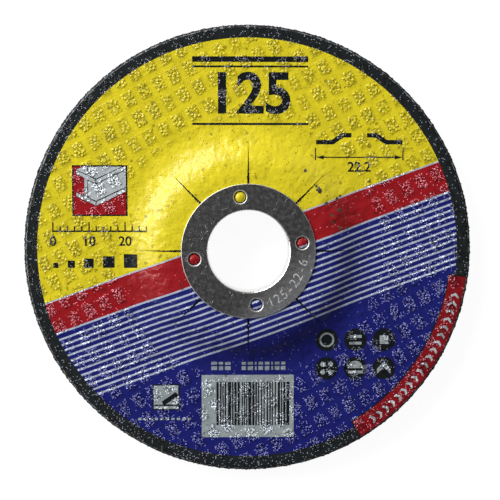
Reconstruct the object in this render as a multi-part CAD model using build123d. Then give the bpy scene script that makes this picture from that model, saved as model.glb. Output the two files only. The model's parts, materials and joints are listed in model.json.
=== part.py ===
from build123d import *
import os
from math import asin, ceil, degrees, hypot

# Depressed-centre grinding wheel for a hand-held angle grinder, lying on its grinding face with
# its labelled back upwards. +Z is the bore axis, and z = 0 is the plane that the face rests on.
# Three pieces: the moulded abrasive body, the paper label pressed onto its back, and the
# flanged steel ring that lines the bore. Millimetres and degrees throughout.

# Moulded wheel
wheel_diameter = 125.0
rim_thickness = 6.0          # over the flat rim, label included
bore_diameter = 22.23        # clear hole inside the steel ring
recess_depth = 4.6           # how far the centre is set back from the grinding face
hub_flat_diameter = 41.0     # raised flat on the back
hub_foot_diameter = 72.0     # where the back's flank runs out into the rim
recess_flat_diameter = 45.0  # ceiling of the recess, room for a clamping nut
recess_foot_diameter = 76.0  # where the recess's flank meets the grinding face
rim_corner_chamfer = 0.5
bore_edge_chamfer = 0.35

# Paper label
paper_thickness = 0.2
label_diameter = 123.6
label_hole_diameter = 25.0
slit_count = 8
slit_mouth_width = 0.85      # at the label's hole, closing to a point
slit_end_diameter = 60.0

# Steel ring
ring_sheet = 0.5
ring_flange_diameter = 37.0
ring_bend_radius = 0.8       # where the flange turns down into the bore
ring_crease_chamfer = 0.3    # inside of that bend
ring_edge_chamfer = 0.15
collar_clearance = 0.03      # between the collar and the moulded bore
collar_end_gap = 0.5         # the collar stops this far short of the recess
key_hole_diameter = 3.4
key_circle_diameter = 30.0
key_hole_count = 4
key_hole_turn = 8.6
key_edge_chamfer = 0.2
bulge_height = 0.42          # paper that has swelled up into the ring's holes
bulge_clearance = 0.25

# Glass net, seen as a waffle where grain stands up through its openings
net_pitch_along = 4.7
net_pitch_across = 5.8
net_turn = 28.0
strand_width = 1.7
pad_slope = 40.0
label_relief = 0.2
face_relief = 0.3
net_margin = 1.0             # plain band kept at the edges of the netted ring

wheel_radius = wheel_diameter / 2
label_radius = label_diameter / 2
bore_radius = bore_diameter / 2
collar_radius = bore_radius + ring_sheet
moulded_bore_radius = collar_radius + collar_clearance
back_z = rim_thickness - paper_thickness
hub_back_z = back_z + recess_depth
flange_bottom_z = hub_back_z + paper_thickness
flange_top_z = flange_bottom_z + ring_sheet


def flank(flat_radius, foot_radius, flat_z, offset=0.0):
    """S-curve down from a flat to its foot: two equal arcs, both moved out by offset."""
    run = foot_radius - flat_radius
    arc_radius = (run**2 + recess_depth**2) / (4 * recess_depth)
    turn = degrees(asin(run / (2 * arc_radius)))
    over = JernArc((flat_radius, flat_z + offset), (1, 0), arc_radius + offset, -turn)
    under = JernArc(over @ 1, over % 1, arc_radius - offset, turn)
    return over, under


def back_flank(offset=0.0):
    return flank(hub_flat_diameter / 2, hub_foot_diameter / 2, hub_back_z, offset)


def turned(edges):
    """Solid of revolution about Z from the edges of a closed half section."""
    return revolve(Plane.XZ * make_face(edges), Axis.Z)


def net_places(inner_radius, outer_radius):
    """Places of the net's openings that lie whole inside a ring."""
    reach = hypot(net_pitch_along - strand_width, net_pitch_across - strand_width) / 2
    columns = ceil(outer_radius / net_pitch_along)
    rows = ceil(outer_radius / net_pitch_across)
    places = []
    for row in range(-rows, rows + 1):
        for column in range(-columns, columns + 1):
            x = column * net_pitch_along
            y = row * net_pitch_across
            if inner_radius + reach < hypot(x, y) < outer_radius - reach:
                places.append(Rot(0, 0, net_turn) * Pos(x, y))
    return places


def net_pad(relief):
    """Grain standing up through one opening of the net, with sloping sides."""
    opening = Rectangle(net_pitch_along - strand_width, net_pitch_across - strand_width)
    return extrude(opening, relief, taper=pad_slope)


def ring_face(outer_radius, inner_radius):
    return Circle(outer_radius) - Circle(inner_radius)


def make_abrasive_body():
    recess_over, recess_under = flank(recess_flat_diameter / 2, recess_foot_diameter / 2, recess_depth)
    back_over, back_under = back_flank()
    hub_edge = moulded_bore_radius + bore_edge_chamfer
    rim_inset = wheel_radius - rim_corner_chamfer
    section = [
        Polyline(
            recess_over @ 0,
            (moulded_bore_radius, recess_depth),
            (moulded_bore_radius, hub_back_z - bore_edge_chamfer),
            (hub_edge, hub_back_z),
            back_over @ 0,
        ),
        back_over,
        back_under,
        Polyline(
            back_under @ 1,
            (rim_inset, back_z),
            (wheel_radius, back_z - rim_corner_chamfer),
            (wheel_radius, rim_corner_chamfer),
            (rim_inset, 0),
            recess_under @ 1,
        ),
        recess_under,
        recess_over,
    ]
    inner = recess_foot_diameter / 2 + net_margin
    outer = rim_inset - net_margin
    pressed = turned(section) - extrude(ring_face(outer, inner), face_relief)
    pad = Pos(0, 0, face_relief) * Rot(180, 0, 0) * net_pad(face_relief)
    return pressed + [place * pad for place in net_places(inner, outer)]


def key_hole_places():
    return PolarLocations(key_circle_diameter / 2, key_hole_count, key_hole_turn)


def make_slits():
    hole_radius = label_hole_diameter / 2
    start = hole_radius - ring_sheet
    grow = (slit_end_diameter / 2 - start) / (slit_end_diameter / 2 - hole_radius)
    half_width = slit_mouth_width / 2 * grow
    wedge = make_face(Polyline(
        (start, -half_width), (slit_end_diameter / 2, 0), (start, half_width), close=True,
    ))
    slit = Pos(0, 0, back_z) * extrude(wedge, flange_top_z - back_z)
    return [Rot(0, 0, 360 * place / slit_count) * slit for place in range(slit_count)]


def make_bulge():
    """Shallow dome of paper that stands inside one hole of the ring."""
    foot_radius = key_hole_diameter / 2 - bulge_clearance
    dome_radius = (foot_radius**2 + bulge_height**2) / (2 * bulge_height)
    dome = Pos(0, 0, flange_bottom_z + bulge_height - dome_radius) * Sphere(dome_radius)
    keep = Pos(0, 0, flange_bottom_z - paper_thickness / 2) * Cylinder(
        foot_radius, bulge_height + paper_thickness, align=(Align.CENTER, Align.CENTER, Align.MIN)
    )
    return dome & keep


def make_paper_label():
    lower_over, lower_under = back_flank()
    upper_over, upper_under = back_flank(paper_thickness)
    section = [
        Polyline(
            lower_over @ 0,
            (label_hole_diameter / 2, hub_back_z),
            (label_hole_diameter / 2, flange_bottom_z),
            upper_over @ 0,
        ),
        upper_over,
        upper_under,
        Polyline(
            upper_under @ 1,
            (label_radius, rim_thickness),
            (label_radius, back_z),
            lower_under @ 1,
        ),
        lower_under,
        lower_over,
    ]
    label = turned(section) - make_slits()
    pad = Pos(0, 0, rim_thickness) * net_pad(label_relief)
    pads = [place * pad for place in net_places(hub_foot_diameter / 2, label_radius - net_margin)]
    bulges = [place * make_bulge() for place in key_hole_places()]
    return label + pads + bulges


def make_bore_ring():
    flange_radius = ring_flange_diameter / 2
    collar_end_z = recess_depth + collar_end_gap
    bend = JernArc((bore_radius, flange_top_z - ring_bend_radius), (0, 1), ring_bend_radius, -90)
    section = [
        bend,
        Polyline(
            bend @ 1,
            (flange_radius - ring_edge_chamfer, flange_top_z),
            (flange_radius, flange_top_z - ring_edge_chamfer),
            (flange_radius, flange_bottom_z),
            (collar_radius + ring_crease_chamfer, flange_bottom_z),
            (collar_radius, flange_bottom_z - ring_crease_chamfer),
            (collar_radius, collar_end_z),
            (bore_radius, collar_end_z),
            bend @ 0,
        ),
    ]
    flange = turned(section)
    hole = Pos(0, 0, flange_bottom_z) * Cylinder(
        key_hole_diameter / 2, ring_sheet, align=(Align.CENTER, Align.CENTER, Align.MIN)
    )
    pierced = flange - [place * hole for place in key_hole_places()]
    top_edges = [
        edge
        for edge in pierced.edges().filter_by(GeomType.CIRCLE)
        if abs(edge.radius - key_hole_diameter / 2) < 1e-6 and abs(edge.center().Z - flange_top_z) < 1e-6
    ]
    return chamfer(top_edges, min(key_edge_chamfer, ring_sheet / 2))


os.makedirs("parts", exist_ok=True)
export_step(make_abrasive_body(), "parts/abrasive_body.step")
export_step(make_paper_label(), "parts/paper_label.step")
export_step(make_bore_ring(), "parts/bore_ring.step")
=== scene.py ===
"""Depressed-centre grinding wheel: finishes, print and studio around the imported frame."""

import json
import math
import random

import bmesh
import bpy
from mathutils import Matrix, Vector


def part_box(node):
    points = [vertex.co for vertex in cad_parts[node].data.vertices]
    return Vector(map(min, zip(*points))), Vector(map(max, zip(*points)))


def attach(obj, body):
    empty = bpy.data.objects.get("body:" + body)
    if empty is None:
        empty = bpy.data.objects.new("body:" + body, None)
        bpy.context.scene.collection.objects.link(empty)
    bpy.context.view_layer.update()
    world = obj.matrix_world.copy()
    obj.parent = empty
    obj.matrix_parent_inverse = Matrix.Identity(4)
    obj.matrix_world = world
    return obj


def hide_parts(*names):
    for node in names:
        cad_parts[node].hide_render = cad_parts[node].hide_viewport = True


bl_info = {
    "name": "Grinding Wheel",
    "version": (1, 0, 0),
    "blender": (4, 5, 0),
    "location": "View3D > Sidebar > Grinding Wheel",
    "description": "Dresses a depressed-centre grinding wheel with its relief, print and studio",
    "category": "Object",
}

# Lengths are in metres, and a noise's Scale says how many of its features go into a metre.
MM = 0.001

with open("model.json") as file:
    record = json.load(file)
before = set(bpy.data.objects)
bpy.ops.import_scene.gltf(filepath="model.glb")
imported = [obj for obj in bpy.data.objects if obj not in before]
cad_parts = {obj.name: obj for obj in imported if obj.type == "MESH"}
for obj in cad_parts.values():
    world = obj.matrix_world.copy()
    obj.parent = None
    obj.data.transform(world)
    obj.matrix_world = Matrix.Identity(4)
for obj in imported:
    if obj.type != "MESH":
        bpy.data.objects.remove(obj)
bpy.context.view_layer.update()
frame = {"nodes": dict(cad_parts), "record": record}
_, body_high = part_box("abrasive_body")
label_low, label_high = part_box("paper_label")
_, ring_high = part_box("bore_ring")
mounts = {mount["name"]: mount for mount in frame["record"]["mounts"]}
recess_height = mounts["nut_seat"]["pos_m"][2]

# Radii between which the label's surface changes, each pair in the order that its ramp rises.
IMPRINT_START = (35.5 * MM, 38.5 * MM)
IMPRINT_UNDER_BORDER = (59.2 * MM, 58.4 * MM)
PLEATS_START, PLEATS_STOP = (19 * MM, 22 * MM), (37 * MM, 33 * MM)
CREASES_START, CREASES_STOP = (21 * MM, 25 * MM), (38 * MM, 33 * MM)


def length_property(name, description, millimetres):
    return bpy.props.FloatProperty(
        name=name, description=description, default=millimetres * MM, unit="LENGTH")


def angle_property(name, description, degrees):
    return bpy.props.FloatProperty(
        name=name, description=description, default=math.radians(degrees), subtype="ANGLE")


def ink_property(name, description, colour):
    """Property of a colour as an sRGB hex value."""
    return bpy.props.StringProperty(name=name, description=description, default=colour)


class WheelShape(bpy.types.PropertyGroup):
    """Sizes of the moulding and of the paper on it."""

    hub_flat_radius: length_property("Hub flat", "Radius of the raised flat on the back", 20.5)
    hub_foot_radius: length_property(
        "Hub foot", "Radius where the back's flank meets the rim", 36.0)
    recess_flat_radius: length_property("Recess flat", "Radius of the recess's ceiling", 22.5)
    recess_foot_radius: length_property(
        "Recess foot", "Radius where the recess meets the grinding face", 38.0)
    moulded_bore_radius: length_property(
        "Moulded bore", "Radius of the bore behind the steel collar", 11.645)
    rim_corner: length_property("Rim corner", "Radius of the rim's two edges", 0.5)
    paper: length_property("Paper", "Thickness of the label", 0.2)
    paper_hole_radius: length_property(
        "Paper hole", "Radius of the label's hole under the ring", 12.5)
    cut_edge: length_property(
        "Cut edge", "Width of the label's feathered edge of bare paper", 0.16)
    slit_mouth: length_property("Slit mouth", "Width of a slit at the label's hole", 0.85)
    slit_end_radius: length_property("Slit end", "Radius where a slit closes", 30.0)
    bulge_circle_radius: length_property(
        "Bulge circle", "Radius on which the paper swells into the ring's holes", 15.0)
    bulge_radius: length_property("Bulge", "Radius of one swelling", 1.4)
    bulge_height: length_property("Bulge height", "Height of one swelling", 0.48)
    bulge_turn: angle_property("Bulge turn", "Angle of the first swelling", 8.6)


class NetRelief(bpy.types.PropertyGroup):
    """The glass net's imprint and the grain that stands up through it."""

    pitch_along: length_property("Pitch along", "Strand spacing along the net's rows", 4.7)
    pitch_across: length_property("Pitch across", "Spacing of the net's rows", 5.8)
    turn: angle_property("Turn", "Angle of the net's rows", 28)
    strand: length_property("Strand", "Width of a strand's smooth band", 1.7)
    wander: length_property("Wander", "How far the strands stray", 1.2)
    # Coarse grit is nearer 0.7 mm, and is drawn larger so that it shows in the render.
    grain: length_property("Grain", "Size of one abrasive grain", 0.95)
    label_lift: length_property(
        "Label lift", "How far an opening of the net lifts the paper", 0.05)
    label_grain: length_property("Label grain", "How far a single grain lifts the paper", 0.11)
    wrinkle: length_property("Wrinkle", "Height of the paper's creases over the hub", 0.16)
    face_sink: length_property("Face sink", "Depth of the strands in the grinding face", 0.3)
    roughness: length_property("Roughness", "Depth between the grains of bare abrasive", 0.24)


class LabelPrint(bpy.types.PropertyGroup):
    """Inks of the label and the places of its fields."""

    yellow: ink_property("Yellow", "Upper field", "#CDBD22")
    red: ink_property("Red", "Band", "#8E161C")
    block: ink_property("Block", "Block in the border", "#7C141B")
    blue: ink_property("Blue", "Lower field", "#191D65")
    silver: ink_property("Silver", "Stripes", "#A3ABBD")
    panel: ink_property("Panel", "Bar panel", "#8B9395")
    black: ink_property("Black", "Marks", "#14181A")
    border: ink_property("Border ink", "Border round the fields", "#1E2223")
    pale: ink_property("Pale grey", "Beam and arrowheads", "#A8ADB0")
    scuffed: ink_property("Scuffed", "Where ink was knocked off", "#4B483C")
    ink_grid: length_property("Ink grid", "Mesh size of a printed mark", 0.4)
    ink_lift: length_property("Ink lift", "How far one ink stands above the one below", 0.03)
    border_radius: length_property("Border", "Radius where the black border starts", 58.5)
    border_x: length_property("Border right", "How far the print sits off the bore's axis", -0.1)
    border_y: length_property("Border up", "How far the print sits above the bore's axis", 0.22)
    block_inner: length_property("Block inside", "Inner radius of the block in the border", 57.0)
    block_start: angle_property("Block start", "Angle where the block starts", -58.8)
    block_stop: angle_property("Block stop", "Angle where the block stops", -7.2)
    block_outline: length_property("Block outline", "Width of the line round the block", 0.35)
    band_turn: angle_property("Band turn", "Rise of the band and stripes", 19.9)
    band_top: length_property(
        "Band top", "Band's upper edge, measured square to it from the bore", 4.9)
    band_line: length_property("Band line", "Width of the silver line over the band", 0.4)
    band_bottom: length_property(
        "Band bottom", "Stripe under the band, measured square to it", -3.9)
    first_stripe: length_property("First stripe", "Uppermost stripe of the blue field", -5.7)
    stripe: length_property("Stripe", "Width of a silver stripe", 0.54)
    stripe_pitch: length_property("Stripe pitch", "Spacing of the silver stripes", 1.63)
    stripe_count: bpy.props.IntProperty(
        name="Stripes", description="Stripes on the blue field", default=12)


class Studio(bpy.types.PropertyGroup):
    """Camera and lamps."""

    distance: length_property("Distance", "Camera to the label", 320)
    tilt: angle_property("Tilt", "How far the camera leans from straight above", 3.95)
    bearing: angle_property("Bearing", "Direction that the camera leans to", 107)
    view_width: length_property("View width", "What the picture spans at the label", 139.6)
    aim_x: length_property("Aim right", "Picture centre, to the right of the bore", 0.55)
    aim_y: length_property("Aim up", "Picture centre, above the bore", -0.01)
    key_power: bpy.props.FloatProperty(
        name="Key", description="Power of the lamp at the upper left", default=21.5,
        unit="POWER")
    sky: bpy.props.FloatProperty(
        name="Sky", description="Strength of the light from all round", default=0.075)


def add_node(tree, kind, inputs=None, **settings):
    """Adds one node.

    An input is a value, a socket or Signal to link, or a tuple with some of those as a vector.
    """
    made = tree.nodes.new(kind)
    for name, value in settings.items():
        setattr(made, name, value)
    linkable = (Signal, bpy.types.NodeSocket)
    for key, value in (inputs or {}).items():
        if isinstance(value, tuple) and any(isinstance(part, linkable) for part in value):
            value = add_node(tree, "ShaderNodeCombineXYZ", dict(enumerate(value))).outputs[0]
        if isinstance(value, Signal):
            value = value.socket
        if isinstance(value, bpy.types.NodeSocket):
            tree.links.new(value, made.inputs[key])
        else:
            made.inputs[key].default_value = value
    return made


class Signal:
    """A number that varies over a surface. Arithmetic on it adds Math nodes to its tree."""

    def __init__(self, tree, socket):
        self.tree = tree
        self.socket = socket

    def apply(self, operation, *others):
        """Result of a Math node's operation on this and other Signals or numbers."""
        inputs = dict(enumerate((self, *others)))
        made = add_node(self.tree, "ShaderNodeMath", inputs, operation=operation)
        return Signal(self.tree, made.outputs[0])

    def __add__(self, other):
        return self.apply("ADD", other)

    def __sub__(self, other):
        return self.apply("SUBTRACT", other)

    def __rsub__(self, other):
        return self.apply("MULTIPLY_ADD", -1.0, other)

    def __mul__(self, other):
        return self.apply("MULTIPLY", other)

    def __truediv__(self, other):
        return self.apply("DIVIDE", other)

    def __abs__(self):
        return self.apply("ABSOLUTE")

    def __lt__(self, other):
        return self.apply("LESS_THAN", other)

    def __gt__(self, other):
        return self.apply("GREATER_THAN", other)

    def ramp(self, low, high):
        """Smooth step from 0 at low to 1 at high."""
        made = add_node(
            self.tree, "ShaderNodeMapRange", {0: self, 1: low, 2: high, 3: 0.0, 4: 1.0},
            interpolation_type="SMOOTHSTEP")
        return Signal(self.tree, made.outputs[0])

    def inverse(self):
        return 1.0 - self


def linear(colour):
    """Linear RGBA of an sRGB hex value."""
    channels = [int(colour[start:start + 2], 16) / 255 for start in (1, 3, 5)]
    return (*[c / 12.92 if c <= 0.04045 else ((c + 0.055) / 1.055) ** 2.4 for c in channels], 1.0)


def split(tree, vector):
    """The three Signals of a vector or colour socket."""
    parts = add_node(tree, "ShaderNodeSeparateXYZ", {0: vector})
    return tuple(Signal(tree, socket) for socket in parts.outputs)


def length_of(x, y):
    """Signal of a place's distance from the origin, such as its radius on the wheel."""
    return (x * x + y * y).apply("SQRT")


def net_openings(tree, x, y, net):
    """(1 in the net's openings and 0 on its strands, 1 along the strands' edges) at a place."""
    stray = add_node(
        tree, "ShaderNodeTexNoise", {"Vector": (x, y, 0.0), "Scale": 85.0, "Detail": 1.0})
    stray_x, stray_y, patchy = split(tree, stray.outputs["Color"])
    x = x + (stray_x - 0.5) * net.wander
    y = y + (stray_y - 0.5) * net.wander
    cos, sin = math.cos(net.turn), math.sin(net.turn)
    along = (x * cos + y * sin) / net.pitch_along
    across = (y * cos - x * sin) / net.pitch_across
    column, row = along.apply("ROUND"), across.apply("ROUND")
    soft, line = 0.35 * MM, 0.16 * MM
    mask, edges = None, None
    for share, cell, pitch in ((along, column, net.pitch_along), (across, row, net.pitch_across)):
        half = (pitch - net.strand) / 2
        off = abs(share - cell) * pitch
        inside = off.ramp(half + soft, half - soft)
        edge = abs(off - half).ramp(line, 0.0)
        mask = inside if mask is None else mask * inside
        edges = edge if edges is None else edges.apply("MAXIMUM", edge)
    cell_noise = add_node(tree, "ShaderNodeTexWhiteNoise", {"Vector": (column, row, 0.0)})
    strength = Signal(tree, cell_noise.outputs["Value"]) * 0.5 + 0.6
    return mask * strength, edges * patchy.ramp(0.42, 0.62)


def grain_domes(tree, vector, size, dimensions="3D"):
    """Rounded grains of a size: (height 0 to 1, each one's random number, its centre)."""
    cells = add_node(
        tree, "ShaderNodeTexVoronoi", {"Vector": vector, "Scale": 1 / size, "Randomness": 0.9},
        voronoi_dimensions=dimensions, feature="F1")
    chance, _, _ = split(tree, cells.outputs["Color"])
    distance = Signal(tree, cells.outputs["Distance"])
    steepness = 4.6
    dome = (distance * distance).apply("MULTIPLY_ADD", -steepness, 1.0).apply("MAXIMUM", 0.0)
    return dome, chance, cells.outputs["Position"]


def net_grains(tree, x, y, net):
    """Height of the whole grains that stand in the net's openings, and each one's chance."""
    dome, chance, centre = grain_domes(tree, (x, y, 0.0), net.grain, "2D")
    centre_x, centre_y, _ = split(tree, centre)
    openings, _ = net_openings(tree, centre_x, centre_y, net)
    return dome * openings.ramp(0.25, 0.85) * (chance * 0.6 + 0.4), chance


def set_inputs(modifier, values):
    """Sets a Geometry Nodes modifier's inputs by the names that the tree shows."""
    for item in modifier.node_group.interface.items_tree:
        if item.item_type == "SOCKET" and item.in_out == "INPUT" and item.name in values:
            modifier[item.identifier] = values[item.name]


def new_tree(name, inputs):
    """Geometry Nodes tree with a Geometry input and output, and these named inputs."""
    tree = bpy.data.node_groups.new(name, "GeometryNodeTree")
    tree.interface.new_socket("Geometry", in_out="INPUT", socket_type="NodeSocketGeometry")
    tree.interface.new_socket("Geometry", in_out="OUTPUT", socket_type="NodeSocketGeometry")
    for label, kind in inputs.items():
        tree.interface.new_socket(label, in_out="INPUT", socket_type="NodeSocket" + kind)
    return tree, tree.nodes.new("NodeGroupInput"), tree.nodes.new("NodeGroupOutput")


def move_along(normal, distance, tree, given, result):
    """Ends a tree by moving its whole surface along the normals by a Signal."""
    offset = add_node(
        tree, "ShaderNodeVectorMath", {0: normal, "Scale": distance}, operation="SCALE")
    moved = add_node(tree, "GeometryNodeSetPosition", {
        "Geometry": given.outputs["Geometry"], "Offset": offset.outputs[0]})
    tree.links.new(moved.outputs[0], result.inputs[0])


def label_relief_tree(net):
    """Embosses the paper with the grains in the net's openings, and creases it over the hub."""
    names = ("Inner", "Outer", "Lift", "Grain", "Wrinkle")
    tree, given, result = new_tree("label_relief", {name: "Float" for name in names})
    value = {name: Signal(tree, given.outputs[name]) for name in names}
    place = add_node(tree, "GeometryNodeInputPosition").outputs[0]
    normal = add_node(tree, "GeometryNodeInputNormal").outputs[0]
    x, y, _ = split(tree, place)
    facing = split(tree, normal)[2].ramp(0.5, 0.8)
    radius = length_of(x, y)
    ring = radius.ramp(value["Inner"], value["Inner"] + 1.5 * MM)
    ring = ring * radius.ramp(value["Outer"], value["Outer"] - 0.3 * MM)
    openings, _ = net_openings(tree, x, y, net)
    grains, _ = net_grains(tree, x, y, net)
    ring = ring * (radius.ramp(*IMPRINT_UNDER_BORDER) * 0.75 + 0.25)
    lift = ring * (grains * value["Grain"] + openings * value["Lift"])
    angle = y.apply("ARCTAN2", x)
    pleats = add_node(tree, "ShaderNodeTexNoise", {
        "Vector": (angle * 3.2, radius * 60.0, 0.0), "Scale": 3.0, "Detail": 2.0})
    crease = (Signal(tree, pleats.outputs[0]) - 0.5) * value["Wrinkle"] * 2.0
    flank = radius.ramp(*PLEATS_START) * radius.ramp(*PLEATS_STOP)
    move_along(normal, facing * (lift + flank * crease), tree, given, result)
    return tree


def body_relief_tree(net):
    """Sinks the moulding between its grains, and along the net's strands on the grinding face."""
    names = ("Inner", "Outer", "Sink", "Roughness")
    tree, given, result = new_tree("body_relief", {name: "Float" for name in names})
    value = {name: Signal(tree, given.outputs[name]) for name in names}
    place = add_node(tree, "GeometryNodeInputPosition").outputs[0]
    normal = add_node(tree, "GeometryNodeInputNormal").outputs[0]
    x, y, _ = split(tree, place)
    facing = (split(tree, normal)[2] * -1.0).ramp(0.5, 0.8)
    radius = length_of(x, y)
    ring = radius.ramp(value["Inner"], value["Inner"] + 1.2 * MM)
    ring = ring * radius.ramp(value["Outer"], value["Outer"] - 0.3 * MM)
    openings, _ = net_openings(tree, x, y, net)
    sink = facing * ring * openings.apply("MINIMUM", 1.0).inverse() * value["Sink"]
    dome, _, _ = grain_domes(tree, place, net.grain)
    depth = sink + dome.inverse() * value["Roughness"]
    move_along(normal, depth * -1.0, tree, given, result)
    return tree


def loose_grain_tree():
    """Scatters broken grains over the bare rim and the grinding face."""
    tree, given, result = new_tree("loose_grains", {
        "Inner": "Float", "Density": "Float", "Smallest": "Float", "Largest": "Float",
        "Seed": "Int", "Material": "Material"})
    place = add_node(tree, "GeometryNodeInputPosition").outputs[0]
    x, y, _ = split(tree, place)
    bare = length_of(x, y) > Signal(tree, given.outputs["Inner"])
    points = add_node(tree, "GeometryNodeDistributePointsOnFaces", {
        "Mesh": given.outputs["Geometry"], "Selection": bare,
        "Density": given.outputs["Density"], "Seed": given.outputs["Seed"]})
    chip = add_node(tree, "GeometryNodeMeshIcoSphere", {"Radius": 1.0, "Subdivisions": 1})
    bedded = 0.75
    sunk = add_node(
        tree, "ShaderNodeVectorMath",
        {0: points.outputs["Normal"], "Scale": Signal(tree, given.outputs["Largest"]) * -bedded},
        operation="SCALE")
    seated = add_node(tree, "GeometryNodeSetPosition", {
        "Geometry": points.outputs["Points"], "Offset": sunk.outputs[0]})
    turn = add_node(tree, "FunctionNodeRandomValue", {
        "Min": (0.0, 0.0, 0.0), "Max": (math.tau, math.tau, math.tau),
        "Seed": given.outputs["Seed"]}, data_type="FLOAT_VECTOR")
    small, large = given.outputs["Smallest"], given.outputs["Largest"]
    scale = add_node(tree, "FunctionNodeRandomValue", {
        "Min": (small, small, small), "Max": (large, large, large),
        "Seed": given.outputs["Seed"]}, data_type="FLOAT_VECTOR")
    grains = add_node(tree, "GeometryNodeInstanceOnPoints", {
        "Points": seated.outputs[0], "Instance": chip.outputs["Mesh"],
        "Rotation": turn.outputs["Value"], "Scale": scale.outputs["Value"]})
    real = add_node(tree, "GeometryNodeRealizeInstances", {"Geometry": grains.outputs[0]})
    dressed = add_node(tree, "GeometryNodeSetMaterial", {
        "Geometry": real.outputs[0], "Material": given.outputs["Material"]})
    tree.links.new(dressed.outputs[0], result.inputs[0])
    return tree


def bake_nodes(piece):
    """Turns a piece's modifiers into its plain mesh."""
    ready = piece.evaluated_get(bpy.context.evaluated_depsgraph_get())
    mesh = bpy.data.meshes.new_from_object(ready)
    piece.modifiers.clear()
    piece.data = mesh
    mesh.name = piece.name


def smooth(mesh, degrees):
    """Shades a mesh smooth, but for the edges that turn by more than an angle."""
    mesh.shade_smooth()
    mesh.set_sharp_from_angle(angle=math.radians(degrees))


def seat_piece(piece, slot, *nodes):
    """Puts a finished piece on the wheel's one body, in place of its CAD nodes."""
    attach(piece, "root")
    if nodes:
        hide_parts(*nodes)


def link_object(name, data):
    made = bpy.data.objects.new(name, data)
    bpy.context.scene.collection.objects.link(made)
    return made


def flank_height(radius, flat_radius, foot_radius, drop):
    """Height above the foot of the S-shaped flank: two equal arcs."""
    run = foot_radius - flat_radius
    arc = (run**2 + drop**2) / (4 * drop)
    over = min(max(radius - flat_radius, 0.0), run / 2)
    under = min(max(foot_radius - radius, 0.0), run / 2)
    return drop - (arc - math.sqrt(arc**2 - over**2)) if radius < flat_radius + run / 2 else (
        arc - math.sqrt(arc**2 - under**2))


def spaced(start, stop, step):
    """Values from start up to but without stop, about step apart."""
    count = max(1, round(abs(stop - start) / step))
    return [start + (stop - start) * place / count for place in range(count)]


def turned_piece(name, rings, gap=None, walls=()):
    """Closed surface of revolution through rings of (radius, height, columns a sector).

    Neighbouring rings have as many columns, or double. gap gives the half width of the slit
    between two sectors at a radius, and walls the pairs of rings that its sides join.
    """
    sectors = 8
    points, faces, starts = [], [], []
    for radius, height, columns in rings:
        starts.append(len(points))
        shift = gap(radius) / radius if gap else 0.0
        span = math.tau / sectors - 2 * shift
        for sector in range(sectors):
            begin = math.tau * sector / sectors + shift
            for column in range(columns + 1):
                angle = begin + span * column / columns
                points.append((radius * math.cos(angle), radius * math.sin(angle), height))

    def at(ring, sector, column):
        return starts[ring] + sector * (rings[ring][2] + 1) + column

    for ring in range(len(rings)):
        after = (ring + 1) % len(rings)
        near, far = rings[ring][2], rings[after][2]
        for sector in range(sectors):
            for column in range(min(near, far)):
                if near == far:
                    faces.append((
                        at(ring, sector, column), at(after, sector, column),
                        at(after, sector, column + 1), at(ring, sector, column + 1)))
                    continue
                coarse, fine = (ring, after) if near < far else (after, ring)
                ends = (at(coarse, sector, column), at(coarse, sector, column + 1))
                mids = [at(fine, sector, 2 * column + step) for step in range(3)]
                trio = [
                    (ends[0], mids[0], mids[1]),
                    (ends[0], mids[1], ends[1]),
                    (ends[1], mids[1], mids[2]),
                ]
                faces.extend(trio if near < far else [tuple(reversed(face)) for face in trio])
    for (top, bottom), (next_top, next_bottom) in zip(walls, walls[1:]):
        for sector in range(sectors):
            for column in (0, rings[top][2]):
                faces.append((
                    at(top, sector, column), at(next_top, sector, column),
                    at(next_bottom, sector, column), at(bottom, sector, column)))
    mesh = bpy.data.meshes.new(name)
    mesh.from_pydata(points, [], faces)
    close_up(mesh)
    return link_object(name, mesh)


def close_up(mesh):
    """Merges a mesh's seams and turns its faces outwards."""
    work = bmesh.new()
    work.from_mesh(mesh)
    bmesh.ops.remove_doubles(work, verts=work.verts, dist=1e-7)
    bmesh.ops.dissolve_degenerate(work, edges=work.edges, dist=1e-8)
    bmesh.ops.recalc_face_normals(work, faces=work.faces)
    work.to_mesh(mesh)
    work.free()


def columns_for(fine):
    return fine


def finish_step(fine):
    return fine


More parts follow.
